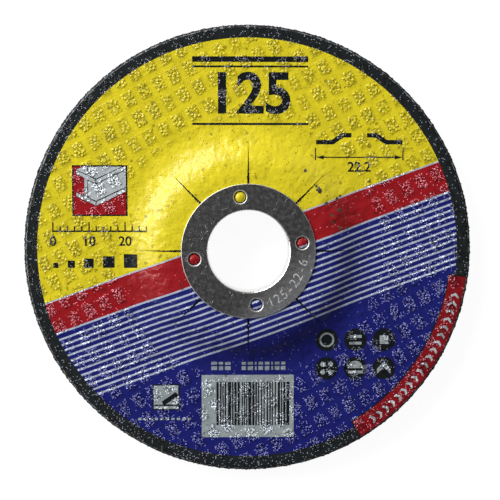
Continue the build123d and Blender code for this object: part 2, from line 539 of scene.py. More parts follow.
class AddAbrasiveBody(bpy.types.Operator):
    """Moulded grain and resin, rough at the rim and on the grinding face"""

    bl_idname = "grinding_wheel.abrasive_body"
    bl_label = "Abrasive body"

    def execute(self, context):
        shape, net = context.scene.wheel_shape, context.scene.net_relief
        body = turned_piece("moulded_grain", self.outline(shape))
        relief = body.modifiers.new("relief", "NODES")
        relief.node_group = body_relief_tree(net)
        set_inputs(relief, {
            "Inner": shape.recess_foot_radius, "Outer": body_high.x - 2 * shape.rim_corner,
            "Sink": net.face_sink, "Roughness": net.roughness})
        bake_nodes(body)
        smooth(body.data, 60)
        body.data.materials.append(resin_bonded_grain())
        seat_piece(body, "resin_bonded_grain", "abrasive_body")
        self.add_loose_grains(body)
        return {"FINISHED"}

    def outline(self, shape):
        """Rings over the back, round the rim, over the grinding face and into the recess."""
        wheel_radius = body_high.x
        back = label_low.z
        hub = body_high.z
        corner = shape.rim_corner
        corner_step = math.pi / 6
        plain, finer, finest = (columns_for(count) for count in (30, 60, 120))
        step = finish_step(0.42 * MM)
        rings = []

        def recess(radius):
            return flank_height(
                radius, shape.recess_flat_radius, shape.recess_foot_radius, recess_height)

        def back_face(radius):
            return back + flank_height(
                radius, shape.hub_flat_radius, shape.hub_foot_radius, hub - back)

        for radius in spaced(shape.moulded_bore_radius, shape.hub_foot_radius, 1.1 * MM):
            rings.append((radius, back_face(radius), plain))
        for radius in spaced(shape.hub_foot_radius, wheel_radius - 2.5 * MM, 6 * MM):
            rings.append((radius, back, plain))
        rings.append((wheel_radius - 2.2 * MM, back, finer))
        for radius in spaced(wheel_radius - 1.8 * MM, wheel_radius - corner, 0.26 * MM):
            rings.append((radius, back, finest))
        centre = wheel_radius - corner
        for turn in spaced(0, math.pi / 2, corner_step):
            rings.append((
                centre + corner * math.sin(turn), back - corner + corner * math.cos(turn), finest))
        for height in spaced(back - corner, corner, step):
            rings.append((wheel_radius, height, finest))
        for turn in spaced(0, math.pi / 2, corner_step):
            rings.append((
                centre + corner * math.cos(turn), corner - corner * math.sin(turn), finest))
        for radius in spaced(centre, shape.recess_foot_radius, step):
            rings.append((radius, 0.0, finest))
        rings.append((shape.recess_foot_radius, recess(shape.recess_foot_radius), finer))
        inside_foot = shape.recess_foot_radius - 1 * MM
        for radius in spaced(inside_foot, shape.recess_flat_radius, 0.6 * MM):
            rings.append((radius, recess(radius), finer))
        for radius in spaced(shape.recess_flat_radius, shape.moulded_bore_radius, 0.8 * MM):
            rings.append((radius, recess_height, plain))
        rings.append((shape.moulded_bore_radius, recess_height, plain))
        return rings

    def add_loose_grains(self, body):
        """Broken grains on the bare band outside the label, the rim and the grinding face."""
        bare_band, grains_per_square_metre = 1.3 * MM, 0.45e6
        grains = link_object("standing_grains", body.data.copy())
        grains.data.materials.clear()
        scatter = grains.modifiers.new("scatter", "NODES")
        scatter.node_group = loose_grain_tree()
        set_inputs(scatter, {
            "Inner": body_high.x - bare_band, "Density": grains_per_square_metre,
            "Smallest": 0.1 * MM, "Largest": 0.2 * MM, "Seed": 11,
            "Material": broken_grain()})
        bake_nodes(grains)
        seat_piece(grains, "resin_bonded_grain")


class AddPaperLabel(bpy.types.Operator):
    """Printed paper, embossed by the grain and cut into leaves at the hub"""

    bl_idname = "grinding_wheel.paper_label"
    bl_label = "Paper label"

    def execute(self, context):
        shape, net = context.scene.wheel_shape, context.scene.net_relief
        edge = label_high.x - shape.cut_edge
        face = label_low.z + shape.paper
        label = self.cut_sheet(shape, edge, face)
        self.swell(label.data, shape)
        relief = label.modifiers.new("relief", "NODES")
        relief.node_group = label_relief_tree(net)
        set_inputs(relief, {
            "Inner": shape.hub_foot_radius, "Outer": label_high.x - 0.35 * MM,
            "Lift": net.label_lift, "Grain": net.label_grain, "Wrinkle": net.wrinkle})
        bake_nodes(label)
        smooth(label.data, 70)
        label.data.materials.append(printed_paper())
        label.data.materials.append(cut_paper())
        for polygon in label.data.polygons:
            centre = polygon.center
            cut = math.hypot(centre.x, centre.y) > edge and centre.z < face + 0.1 * MM
            polygon.material_index = int(cut)
        seat_piece(label, "printed_paper", "paper_label")
        return {"FINISHED"}

    def cut_sheet(self, shape, edge, face):
        """Smooth paper over the back, with ragged slits at the hub and a feathered edge."""
        label_radius = label_high.x
        rise = body_high.z - label_low.z
        plain, finer, finest = (columns_for(count) for count in (30, 60, 120))
        hub_step, net_step = 0.4 * MM, finish_step(0.38 * MM)
        ragged = random.Random(5)

        def height(radius):
            return face + flank_height(
                radius, shape.hub_flat_radius, shape.hub_foot_radius, rise)

        def slit(radius):
            if radius >= shape.slit_end_radius:
                return 0.0
            share = (shape.slit_end_radius - radius) / (
                shape.slit_end_radius - shape.paper_hole_radius)
            return shape.slit_mouth / 2 * share * ragged_edge[radius]

        foot = shape.hub_foot_radius
        hub = spaced(shape.paper_hole_radius, shape.slit_end_radius, hub_step)
        hub.append(shape.slit_end_radius)
        ragged_edge = {radius: ragged.uniform(1.05, 1.45) for radius in hub}
        flank = spaced(shape.slit_end_radius + hub_step, foot - 1.2 * MM, hub_step)
        rings = [(radius, height(radius), plain) for radius in hub + flank]
        rings.append((foot - 1.2 * MM, height(foot - 1.2 * MM), plain))
        rings.append((foot - 0.6 * MM, height(foot - 0.6 * MM), finer))
        rings += [(radius, height(radius), finest) for radius in spaced(foot, edge, net_step)]
        rings.append((edge, face, finest))
        rings.append((label_radius, face - 0.8 * shape.paper, finest))
        rings.append((label_radius - 0.1 * MM, face - shape.paper, finest))
        rings.append((label_radius - 0.8 * MM, face - shape.paper, finer))
        under = [label_radius - 1.5 * MM] + spaced(56 * MM, foot, 5 * MM)
        under += spaced(foot, shape.slit_end_radius, 1 * MM)
        rings += [(radius, height(radius) - shape.paper, plain) for radius in under + hub[::-1]]
        walls = [(place, len(rings) - 1 - place) for place in range(len(hub))]
        return turned_piece("printed_paper", rings, slit, walls)

    def swell(self, mesh, shape):
        """Lifts the paper that stands in the ring's four holes."""
        places = []
        for quarter in range(4):
            angle = shape.bulge_turn + quarter * math.pi / 2
            places.append(Vector((math.cos(angle), math.sin(angle))) * shape.bulge_circle_radius)
        lowest = body_high.z + shape.paper / 2
        for vertex in mesh.vertices:
            if vertex.co.z < lowest:
                continue
            for place in places:
                share = (vertex.co.xy - place).length / shape.bulge_radius
                if share < 1:
                    vertex.co.z += shape.bulge_height * (1 - share**2)


class DressBoreRing(bpy.types.Operator):
    """Finish of the pressed steel ring"""

    bl_idname = "grinding_wheel.bore_ring"
    bl_label = "Bore ring"

    def execute(self, context):
        ring = frame["nodes"]["bore_ring"]
        ring.data.materials.clear()
        ring.data.materials.append(pressed_steel())
        return {"FINISHED"}


def rectangle(x, y, width, height):
    """Corners of a rectangle centred at x, y."""
    w, h = width / 2, height / 2
    return [(x - w, y - h), (x + w, y - h), (x + w, y + h), (x - w, y + h)]


def disc(x, y, radius, start=0.0, stop=math.tau, sides=48):
    """Corners of a disc, or of the segment between two angles."""
    whole = stop - start >= math.tau
    count = sides if whole else sides + 1
    turns = [start + (stop - start) * place / sides for place in range(count)]
    return [(x + radius * math.cos(turn), y + radius * math.sin(turn)) for turn in turns]


def hoop(x, y, outer, inner, sides=40):
    """Ring as a row of four-cornered faces."""
    far, near = disc(x, y, outer, sides=sides), disc(x, y, inner, sides=sides)
    return [[near[i - 1], far[i - 1], far[i], near[i]] for i in range(sides)]


def slanted(start, end, width):
    """Bar of a width from start to end."""
    run = Vector(end) - Vector(start)
    side = Vector((-run.y, run.x)).normalized() * width / 2
    corners = [Vector(start) - side, Vector(end) - side, Vector(end) + side, Vector(start) + side]
    return [tuple(corner) for corner in corners]


def flat_shapes(name, outlines, inset=0.0):
    """Flat mesh of closed outlines in millimetres. inset draws each one in from its outline."""
    work = bmesh.new()
    for outline in outlines:
        work.faces.new([work.verts.new((x * MM, y * MM, 0.0)) for x, y in outline])
    if inset:
        work.normal_update()
        faces = list(work.faces)
        rims = bmesh.ops.inset_individual(work, faces=faces, thickness=inset * MM)["faces"]
        bmesh.ops.delete(work, geom=rims, context="FACES")
    else:
        bmesh.ops.remove_doubles(work, verts=work.verts, dist=1e-6)
    mesh = bpy.data.meshes.new(name)
    work.to_mesh(mesh)
    work.free()
    return mesh


def flat_digits(name, digits, size, x, y, weight=0.0, turn=0.0):
    """Flat mesh of plain figures, size in millimetres, centred at x, y."""
    curve = bpy.data.curves.new(name, "FONT")
    curve.body = digits
    figure_height = 0.73
    curve.size = size / figure_height
    curve.offset = weight
    curve.align_x = "CENTER"
    curve.align_y = "CENTER"
    curve.fill_mode = "FRONT"
    curve.resolution_u = 6
    written = link_object(name, curve)
    mesh = bpy.data.meshes.new_from_object(written)
    bpy.data.objects.remove(written)
    mesh.transform(Matrix.Translation((x * MM, y * MM, 0)) @ Matrix.Rotation(turn, 4, "Z")
                   @ Matrix.Scale(MM, 4))
    return mesh


def cut_finely(mesh, step):
    """Cuts a flat mesh along a square grid, so that it can follow the paper it is laid on."""
    well_above = 30 * MM
    work = bmesh.new()
    work.from_mesh(mesh)
    for axis in (0, 1):
        reach = [vertex.co[axis] for vertex in work.verts]
        direction = Vector((1, 0, 0)) if axis == 0 else Vector((0, 1, 0))
        for line in range(math.ceil(min(reach) / step), math.floor(max(reach) / step) + 1):
            bmesh.ops.bisect_plane(
                work, geom=work.verts[:] + work.edges[:] + work.faces[:], dist=1e-7,
                plane_co=direction * line * step, plane_no=direction)
    bmesh.ops.triangulate(work, faces=work.faces)
    bmesh.ops.remove_doubles(work, verts=work.verts, dist=2e-6)
    for vertex in work.verts:
        vertex.co.z = well_above
    for face in work.faces:
        if face.normal.z < 0:
            face.normal_flip()
    work.to_mesh(mesh)
    work.free()


class PrintMarks(bpy.types.Operator):
    """Inks printed over the label's fields: scale, profile, beam, discs and bars"""

    bl_idname = "grinding_wheel.print_marks"
    bl_label = "Printed marks"

    def execute(self, context):
        label = context.scene.label_print
        self.label = bpy.data.objects["printed_paper"]
        self.grid = label.ink_grid * 1
        self.lift = label.ink_lift
        self.black = printed_ink("black_ink", label.black)
        self.silver = printed_ink("silver_ink", label.panel)
        self.pale = printed_ink("pale_grey_ink", label.pale)
        self.red = printed_ink("red_ink", label.red)
        self.size_figures()
        self.profile_drawing()
        self.scale_and_squares()
        self.beam_square()
        self.bar_panel()
        self.angle_square()
        self.discs()
        self.rim_chevrons()
        self.scuffs()
        return {"FINISHED"}

    def lay(self, name, mesh, ink, layer=1):
        """Wraps a flat mesh onto the paper as a thin closed film of ink."""
        cut_finely(mesh, self.grid)
        film = link_object(name, mesh)
        wrap = film.modifiers.new("wrap", "SHRINKWRAP")
        wrap.target = self.label
        wrap.wrap_method = "PROJECT"
        wrap.use_project_z = True
        wrap.use_negative_direction = True
        wrap.use_positive_direction = False
        wrap.offset = self.lift * layer
        body = film.modifiers.new("body", "SOLIDIFY")
        body.thickness = self.lift * 2
        body.offset = -1.0
        bake_nodes(film)
        smooth(film.data, 70)
        film.data.materials.clear()
        film.data.materials.append(ink)
        seat_piece(film, "printed_paper")

    def print_shapes(self, name, outlines, ink, layer=1):
        """Prints closed outlines that are given in millimetres."""
        self.lay(name, flat_shapes(name, outlines), ink, layer)

    def print_figures(self, name, figures, size, x, y, weight):
        """Prints black figures of a height in millimetres, centred at x, y."""
        self.lay(name, flat_digits(name, figures, size, x, y, weight), self.black)

    def size_figures(self):
        """The wheel's diameter between rules."""
        self.print_figures("size_figures", "125", 11.4, 0.6, 42.9, 0.36)
        rules = ((52.8, 1.5), (50.8, 0.5), (35.0, 0.6))
        bars = [rectangle(0.6, y, 32.0, height) for y, height in rules]
        self.print_shapes("size_rules", bars, self.black)

    def profile_drawing(self):
        """Half-height section through the wheel with its dimension line."""
        x, y = 30.9, 29.4
        half = [(-12.0, 0.0), (-7.2, 0.0), (-4.4, 1.9), (-2.2, 1.9), (-2.2, 3.1), (-4.9, 3.1),
                (-7.7, 1.2), (-12.0, 1.2)]
        left = [(x + px, y + py) for px, py in half]
        right = [(x - px, y + py) for px, py in reversed(half)]
        line = y - 3.6
        marks = [left, right, rectangle(x, line, 21.0, 0.32)]
        for side in (-1, 1):
            marks.append([(x + side * 12.0, line), (x + side * 9.9, line + 0.6),
                          (x + side * 9.9, line - 0.6)][::side])
            marks.append(rectangle(x + side * 12.2, line + 0.9, 0.3, 3.4))
        self.print_shapes("profile_drawing", marks, self.black)
        self.print_figures("profile_figures", "22.2", 2.8, x, line - 2.8, 0.07)

    def scale_and_squares(self):
        """Scale in two-millimetre steps over a row of squares that grow."""
        left, base = -54.2, 5.3
        marks = [rectangle(left + 13.0, base, 26.4, 0.42)]
        for tick in range(14):
            tall = 2.3 if tick % 5 == 0 else 1.2
            marks.append(rectangle(left + 2.0 * tick, base + 0.21 + tall / 2, 0.36, tall))
        self.print_shapes("scale_ticks", marks, self.black)
        for place, figures in enumerate(("0", "10", "20")):
            self.print_figures("scale_" + figures, figures, 2.7, left + 10 * place, 2.4, 0.07)
        at, gap, squares = left, 2.6, []
        for side in (1.4, 2.0, 2.6, 3.2, 3.8):
            squares.append(rectangle(at + side / 2, -4.9 + side / 2, side, side))
            at += side + gap
        self.print_shapes("grit_squares", squares, self.black)

    def beam_square(self):
        """Steel beam drawn in a framed square that crops its far end."""
        x, y = -41.13, 16.56
        self.print_shapes("beam_frame", [rectangle(x, y, 15.3, 14.1)], self.black)
        self.print_shapes("beam_field", [rectangle(x, y, 14.5, 13.3)], self.red, 2)
        across, up, deep = Vector((0.84, -0.4)), Vector((0.0, 1.0)), Vector((0.9, 0.42))
        wide, high, thick, reach = 6.6, 7.4, 1.25, 12.0
        corner = Vector((x - 6.6, y - 1.6))

        def face(*points):
            return [tuple(corner + across * u + up * v + deep * w) for u, v, w in points]

        web = (wide - thick) / 2
        section = face(
            (0, 0, 0), (wide, 0, 0), (wide, thick, 0), (web + thick, thick, 0),
            (web + thick, high - thick, 0), (wide, high - thick, 0), (wide, high, 0), (0, high, 0),
            (0, high - thick, 0), (web, high - thick, 0), (web, thick, 0), (0, thick, 0))
        top = face((0, high, 0), (wide, high, 0), (wide, high, reach), (0, high, reach))
        rim = face((wide, high - thick, 0), (wide, high, 0), (wide, high, reach),
                   (wide, high - thick, reach))
        foot = face((wide, 0, 0), (wide, thick, 0), (wide, thick, reach), (wide, 0, reach))
        side = face((web + thick, thick, 0), (wide, thick, 0), (wide, thick, reach),
                    (wide, high - thick, reach), (wide, high - thick, 0),
                    (web + thick, high - thick, 0))
        for name, inset, ink, layer in (
                ("beam_edges", 0.0, self.black, 3), ("beam_faces", 0.17, self.pale, 4)):
            faces = [section, top[::-1], rim[::-1], foot[::-1], side[::-1]]
            mesh = flat_shapes(name, faces, inset)
            self.crop(mesh, (x + 7.25) * MM, (y + 6.65) * MM)
            self.lay(name, mesh, ink, layer)

    def crop(self, mesh, right, top):
        """Cuts off what passes a right and a top limit."""
        work = bmesh.new()
        work.from_mesh(mesh)
        for place, way in (((right, 0, 0), (1, 0, 0)), ((0, top, 0), (0, 1, 0))):
            bmesh.ops.bisect_plane(
                work, geom=work.verts[:] + work.edges[:] + work.faces[:], dist=1e-7,
                plane_co=place, plane_no=way, clear_outer=True)
        work.to_mesh(mesh)
        work.free()

    def bar_panel(self):
        """Panel of plain bars that stand for no number, under a row of blocks."""
        self.print_shapes("bar_panel", [rectangle(-0.1, -44.0, 25.9, 17.7)], self.silver)
        chance = random.Random(9)
        at, bars = -8.9, []
        while at < 10.8:
            width = chance.choice((0.32, 0.32, 0.4, 0.6, 0.85))
            bars.append(rectangle(at + width / 2, -43.3, width, 12.3))
            at += width + chance.choice((0.28, 0.3, 0.4, 0.55))
        self.print_shapes("panel_bars", bars, self.black, 2)
        blocks = []
        for at, width in (
                (-10.3, 1.6), (-8.2, 1.2), (-6.5, 1.6), (-1.8, 1.2), (-0.1, 1.5), (1.9, 0.5),
                (2.9, 1.3), (4.7, 1.3), (6.5, 0.5), (7.5, 1.3), (9.3, 1.2)):
            blocks.append(rectangle(at + width / 2, -33.2, width, 1.1))
            blocks.append(rectangle(at + width / 2, -31.8, width, 0.8))
        self.print_shapes("panel_blocks", blocks, self.silver)

    def angle_square(self):
        """Slanted bar on a base line in a framed square, over a row of dashes."""
        x, y = -23.05, -41.4
        self.print_shapes("angle_frame", [rectangle(x, y, 7.6, 7.3)], self.black)
        self.print_shapes("angle_field", [rectangle(x, y, 6.9, 6.6)], self.silver, 2)
        base = rectangle(x, y - 2.3, 6.8, 0.45)
        bar = slanted((x - 0.9, y - 1.8), (x + 3.1, y + 0.9), 1.3)
        self.print_shapes("angle_lines", [base, bar], self.black, 3)
        dashes = [rectangle(x - 7.4 + 1.55 * place, y - 6.2, 0.9, 0.65) for place in range(10)]
        self.print_shapes("angle_dashes", dashes, self.silver)

    def discs(self):
        """Six black discs, each with a plain geometric mark."""
        columns, rows = (22.1, 30.2, 38.2), (-25.3, -33.35)
        grounds = [disc(x, y, 3.2) for y in rows for x in columns]
        self.print_shapes("disc_grounds", grounds, self.black)
        (a, b, c), (top, low) = columns, rows
        marks = hoop(a, top, 2.1, 1.6)
        marks += [rectangle(b, top + 0.95, 3.4, 0.8), rectangle(b, top - 0.95, 3.4, 0.8)]
        marks += [rectangle(c, top, 2.4, 2.4)]
        marks += [disc(a + dx, low + dy, 0.7, sides=20) for dx in (-1.1, 1.1) for dy in (-1.1, 1.1)]
        marks += [disc(b, low, 2.1, 0.0, math.pi, 24), rectangle(b, low - 1.1, 4.2, 0.8)]
        marks += [[(c - 1.9, low - 1.6), (c, low + 0.3), (c + 1.9, low - 1.6), (c + 1.9, low - 0.2),
                   (c, low + 1.9), (c - 1.9, low - 0.2)]]
        self.print_shapes("disc_marks", marks, self.silver, 2)

    def rim_chevrons(self):
        """Row of arrowheads round the red block in the border."""
        radius, first, step, count = 59.5, -12.5, 2.28, 19
        marks = []
        for place in range(count):
            turn = math.radians(first - step * place)
            out = Vector((math.cos(turn), math.sin(turn)))
            ahead = Vector((-out.y, out.x))
            shape = [(-1.1, -0.75), (0.0, 0.0), (1.1, -0.75), (1.1, 0.0), (0.0, 0.75), (-1.1, 0.0)]
            marks.append([tuple(out * (radius + u) + ahead * v) for u, v in shape])
        self.print_shapes("rim_chevrons", marks, self.pale)

    def scuffs(self):
        """Knocks that took the ink off at the hub, and two smudges above them."""
        ragged = random.Random(3)
        places = ((19.6, 16.8, 0.9), (18.8, 17.7, 0.5), (15.8, 22.0, 0.5), (21.6, 13.1, 0.55),
                  (24.6, 14.3, 0.5), (25.5, 15.1, 0.4), (23.1, 9.8, 0.55), (25.2, 11.2, 0.6),
                  (23.5, 7.9, 0.4), (25.5, 6.2, 0.55), (27.4, 6.2, 0.4))
        marks = []
        for x, y, size in places:
            corners = disc(0.0, 0.0, size, sides=11)
            marks.append([
                (x + u * ragged.uniform(0.45, 1.25), y + v * ragged.uniform(0.45, 1.25))
                for u, v in corners])
        scuffed = printed_ink("scuffed_print", bpy.context.scene.label_print.scuffed)
        self.print_shapes("scuffs", marks, scuffed)


class StrikeRing(bpy.types.Operator):
    """Size figures struck round the steel ring"""

    bl_idname = "grinding_wheel.struck_figures"
    bl_label = "Struck figures"

    def execute(self, context):
        figures, height, thickness = "125-22-6", 2.7, 0.04 * MM
        radius, first, last = 15.5, -66, -12
        work = bmesh.new()
        for place, figure in enumerate(figures):
            turn = math.radians(first + (last - first) * place / (len(figures) - 1))
            mesh = flat_digits(
                "figure", figure, height, radius * math.cos(turn), radius * math.sin(turn),
                turn=turn + math.pi / 2)
            work.from_mesh(mesh)
            bpy.data.meshes.remove(mesh)
        for vertex in work.verts:
            vertex.co.z = ring_high.z
        mesh = bpy.data.meshes.new("struck_figures")
        work.to_mesh(mesh)
        work.free()
        struck = link_object("struck_figures", mesh)
        body = struck.modifiers.new("body", "SOLIDIFY")
        body.thickness = thickness
        body.offset = 0.0
        bake_nodes(struck)
        close_up(struck.data)
        struck.data.materials.clear()
        struck.data.materials.append(struck_steel())
        seat_piece(struck, "pressed_steel")
        return {"FINISHED"}


def new_material(name):
    """(material, its empty tree)."""
    made = bpy.data.materials.new(name)
    made.use_nodes = True
    made.node_tree.nodes.clear()
    return made, made.node_tree


def surface_place(tree):
    """The x, y and z Signals of the surface, in metres."""
    return split(tree, add_node(tree, "ShaderNodeTexCoord").outputs["Object"])


def from_hole(x, y):
    """Signal of the distance from the nearest of the ring's four holes."""
    shape = bpy.context.scene.wheel_shape
    cos, sin = math.cos(shape.bulge_turn), math.sin(shape.bulge_turn)
    turned_x, turned_y = abs(x * cos + y * sin), abs(y * cos - x * sin)
    out = turned_x.apply("MAXIMUM", turned_y) - shape.bulge_circle_radius
    return length_of(out, turned_x.apply("MINIMUM", turned_y))


def layered(tree, ground, *layers):
    """Colour socket of a ground and what lies on it, as (colour, where it covers) from below.

    A colour is a hex value or a socket.
    """
    below = linear(ground) if isinstance(ground, str) else ground
    for colour, cover in layers:
        above = linear(colour) if isinstance(colour, str) else colour
        below = add_node(
            tree, "ShaderNodeMix", {0: cover, 6: below, 7: above}, data_type="RGBA").outputs[2]
    return below


def resin_bonded_grain():
    """Brown-black fused alumina in phenolic resin, pressed and baked.

    It is matt, with dark hollows between the grains and a few facets that catch the light, which
    are painted as pale specks. The grains are near the grit's real size of 0.7 mm, and the facets
    are half as wide.
    """
    made, tree = new_material("resin_bonded_grain")
    place = surface_place(tree)
    grains, chance, _ = grain_domes(tree, place, 0.6 * MM)
    fine, spark, _ = grain_domes(tree, place, 0.3 * MM)
    # The pale specks on the finest grains are painted highlights: facets that catch the light.
    colour = layered(
        tree, "#08090A", ("#232427", grains), ("#B9BBBF", (fine > 0.3) * (spark > 0.84)))
    bump = add_node(tree, "ShaderNodeBump", {
        "Height": grains * 0.7 + fine * 0.3, "Distance": 0.2 * MM, "Strength": 1.0})
    shader = add_node(tree, "ShaderNodeBsdfPrincipled", {
        "Base Color": colour, "Roughness": chance * 0.3 + 0.5, "Normal": bump.outputs[0]})
    add_node(tree, "ShaderNodeOutputMaterial", {0: shader.outputs[0]})
    return made


def broken_grain():
    """Single grains broken open: grey alumina with glassy facets."""
    made, tree = new_material("broken_grain")
    _, chance, _ = grain_domes(tree, surface_place(tree), 0.5 * MM)
    colour = layered(tree, "#101113", ("#8B8D92", chance.ramp(0.72, 0.95)))
    shader = add_node(tree, "ShaderNodeBsdfPrincipled", {"Base Color": colour, "Roughness": 0.45})
    add_node(tree, "ShaderNodeOutputMaterial", {0: shader.outputs[0]})
    return made


def field_colour(tree, x, y, label):
    """Colour socket of the label's fields, band, stripes and border."""
    cos, sin = math.cos(label.band_turn), math.sin(label.band_turn)
    across = y * cos - x * sin
    half = label.stripe / 2
    place = (label.first_stripe - across) / label.stripe_pitch
    nearest = place.apply("ROUND").apply("MAXIMUM", 0.0).apply("MINIMUM", label.stripe_count - 1.0)
    radius = length_of(x - label.border_x, y - label.border_y)
    angle = y.apply("ARCTAN2", x)
    line = label.block_outline
    turn = line / label.border_radius
    outline = (radius > label.block_inner - line) * (angle > label.block_start - turn)
    outline = outline * (angle < label.block_stop + turn)
    block = (radius > label.block_inner) * (angle > label.block_start)
    block = block * (angle < label.block_stop)
    return layered(
        tree, label.yellow,
        (label.silver, across < label.band_top + label.band_line),
        (label.red, across < label.band_top),
        (label.silver, across < label.band_bottom + half),
        (label.blue, across < label.band_bottom - half),
        (label.silver, abs(place - nearest) * label.stripe_pitch < half),
        (label.border, radius > label.border_radius),
        (label.black, outline),
        (label.block, block))


def ink_finish(tree, colour, x, y, net):
    """Varnished print over the embossed paper, with ink rubbed off the highest grains.

    The paper's fibres are drawn 0.4 mm wide, far coarser than they are, so that they show. Painted
    shade darkens the paper between the grains, and painted highlights brighten some grain tops.
    """
    flat = (x, y, 0.0)
    radius = length_of(x, y)
    zone = radius.ramp(*IMPRINT_START)
    in_border = radius.ramp(*IMPRINT_UNDER_BORDER)
    relief = zone * (in_border * 0.75 + 0.25)
    openings, edges = net_openings(tree, x, y, net)
    openings = openings * zone
    grains, _ = net_grains(tree, x, y, net)
    grains = grains * relief
    fine, spark, _ = grain_domes(tree, flat, 0.38 * MM, "2D")
    _, green, blue = split(tree, colour)
    glassy = (green - blue).ramp(0.35, 0.15)
    mottle = add_node(tree, "ShaderNodeTexNoise", {"Vector": flat, "Scale": 180.0, "Detail": 4.0})
    mottle = Signal(tree, mottle.outputs[0])
    colour = add_node(
        tree, "ShaderNodeVectorMath", {0: colour, "Scale": mottle.ramp(0.3, 0.7) * 0.16 + 0.9},
        operation="SCALE").outputs[0]
    silvery = green.ramp(0.15, 0.25) * glassy
    # Painted shade: the paper between the grains in the net's openings is darkened, less so on
    # silver ink.
    painted_crevice_shade = openings * grains.ramp(0.25, 0.0) * fine.ramp(0.7, 0.2)
    painted_crevice_shade = painted_crevice_shade * (silvery * 0.2 + 0.58)
    colour = add_node(
        tree, "ShaderNodeVectorMath", {0: colour, "Scale": painted_crevice_shade.inverse()},
        operation="SCALE").outputs[0]
    # Pale spots on the highest grains: partly ink rubbed off, partly a painted highlight.
    rubbed = (grains > 0.35) * (fine > 0.45) * (spark > 0.88)
    colour = layered(tree, colour, ("#B4ACBE", rubbed * 0.6))
    # Painted highlights: some grain tops on every ink but yellow are brightened and tinted blue as
    # glints, most in the net's openings, fewer on the hub, and in the border more towards the
    # bottom.
    at_rim = (y * -1.0).ramp(20 * MM, 55 * MM) * 0.07 + 0.07
    share = openings * (silvery * 0.25 + 0.42) + 0.03
    share = in_border * (share - at_rim) + at_rim
    glint = fine.ramp(0.4, 0.65) * (spark < share) * glassy * (zone * 0.4 + 0.6)
    gain, sheen = (3.0, 3.0, 3.0), (0.3, 0.31, 0.39)
    bright = add_node(
        tree, "ShaderNodeVectorMath", {0: colour, 1: gain, 2: sheen},
        operation="MULTIPLY_ADD").outputs[0]
    colour = layered(tree, colour, (bright, glint))
    stray = add_node(tree, "ShaderNodeTexNoise", {"Vector": flat, "Scale": 700.0, "Detail": 1.0})
    stray_x, stray_y, smear = split(tree, stray.outputs["Color"])
    reach = 1.4 * MM
    apart = (x + (stray_x - 0.5) * reach, y + (stray_y - 0.5) * reach, 0.0)
    for size, rarity, depth in ((0.6 * MM, 0.86, 0.75), (2.0 * MM, 0.88, 0.5)):
        speck, lot, _ = grain_domes(tree, apart, size, "2D")
        dirt = (speck > 0.75) * (lot > rarity) * smear.ramp(0.35, 0.6) * depth
        colour = layered(tree, colour, ("#1E1A16", dirt))
    fibre = add_node(tree, "ShaderNodeTexNoise", {"Vector": flat, "Scale": 2600.0, "Detail": 2.0})
    round_hub = (y.apply("ARCTAN2", x) * (20 * MM), radius * 0.45, 0.0)
    crease = add_node(
        tree, "ShaderNodeTexNoise", {"Vector": round_hub, "Scale": 300.0, "Detail": 2.0})
    crease = abs(Signal(tree, crease.outputs[0]) - 0.5) * radius.ramp(*CREASES_STOP)
    crease = crease * radius.ramp(*CREASES_START)
    uneven = add_node(tree, "ShaderNodeTexNoise", {"Vector": flat, "Scale": 550.0, "Detail": 2.0})
    height = grains + openings * fine * 0.16 + relief * edges * 0.17 + crease * 3.6
    height = height + zone * fine * 0.05
    height = height + Signal(tree, fibre.outputs[0]) * 0.06
    height = height + Signal(tree, uneven.outputs[0]) * (zone * -0.3 + 1.2)
    bump = add_node(tree, "ShaderNodeBump", {
        "Height": height, "Distance": 0.22 * MM, "Strength": 1.0})
    shader = add_node(tree, "ShaderNodeBsdfPrincipled", {
        "Base Color": colour, "Roughness": zone * -0.09 + 0.33, "Specular IOR Level": 0.33,
        "Normal": bump.outputs[0]})
    add_node(tree, "ShaderNodeOutputMaterial", {0: shader.outputs[0]})


def printed_paper():
    """Offset print under a thin varnish: even colour with a satin gloss."""
    made, tree = new_material("printed_paper")
    x, y, _ = surface_place(tree)
    scene, hole_edge = bpy.context.scene, 1.9 * MM
    # Painted shadow: the paper between each swelling and the edge of its hole in the ring is
    # painted near black, the shade of the swelling and the steel.
    to_hole = from_hole(x, y)
    painted_gap_shadow = (to_hole > scene.wheel_shape.bulge_radius) * (to_hole < hole_edge)
    colour = layered(tree, field_colour(tree, x, y, scene.label_print), ("#08080A", painted_gap_shadow))
    ink_finish(tree, colour, x, y, scene.net_relief)
    return made


def cut_paper():
    """Die-cut edge of bare pulp: grey and matt, torn into tufts drawn wide enough to show."""
    made, tree = new_material("cut_paper")
    x, y, _ = surface_place(tree)
    pulp = add_node(tree, "ShaderNodeTexNoise", {
        "Vector": (x, y, 0.0), "Scale": 900.0, "Detail": 3.0})
    torn = Signal(tree, pulp.outputs[0]).ramp(0.45, 0.6)
    colour = layered(tree, "#1C1D20", ("#8B8C8E", torn))
    shader = add_node(tree, "ShaderNodeBsdfPrincipled", {"Base Color": colour, "Roughness": 0.8})
    add_node(tree, "ShaderNodeOutputMaterial", {0: shader.outputs[0]})
    return made


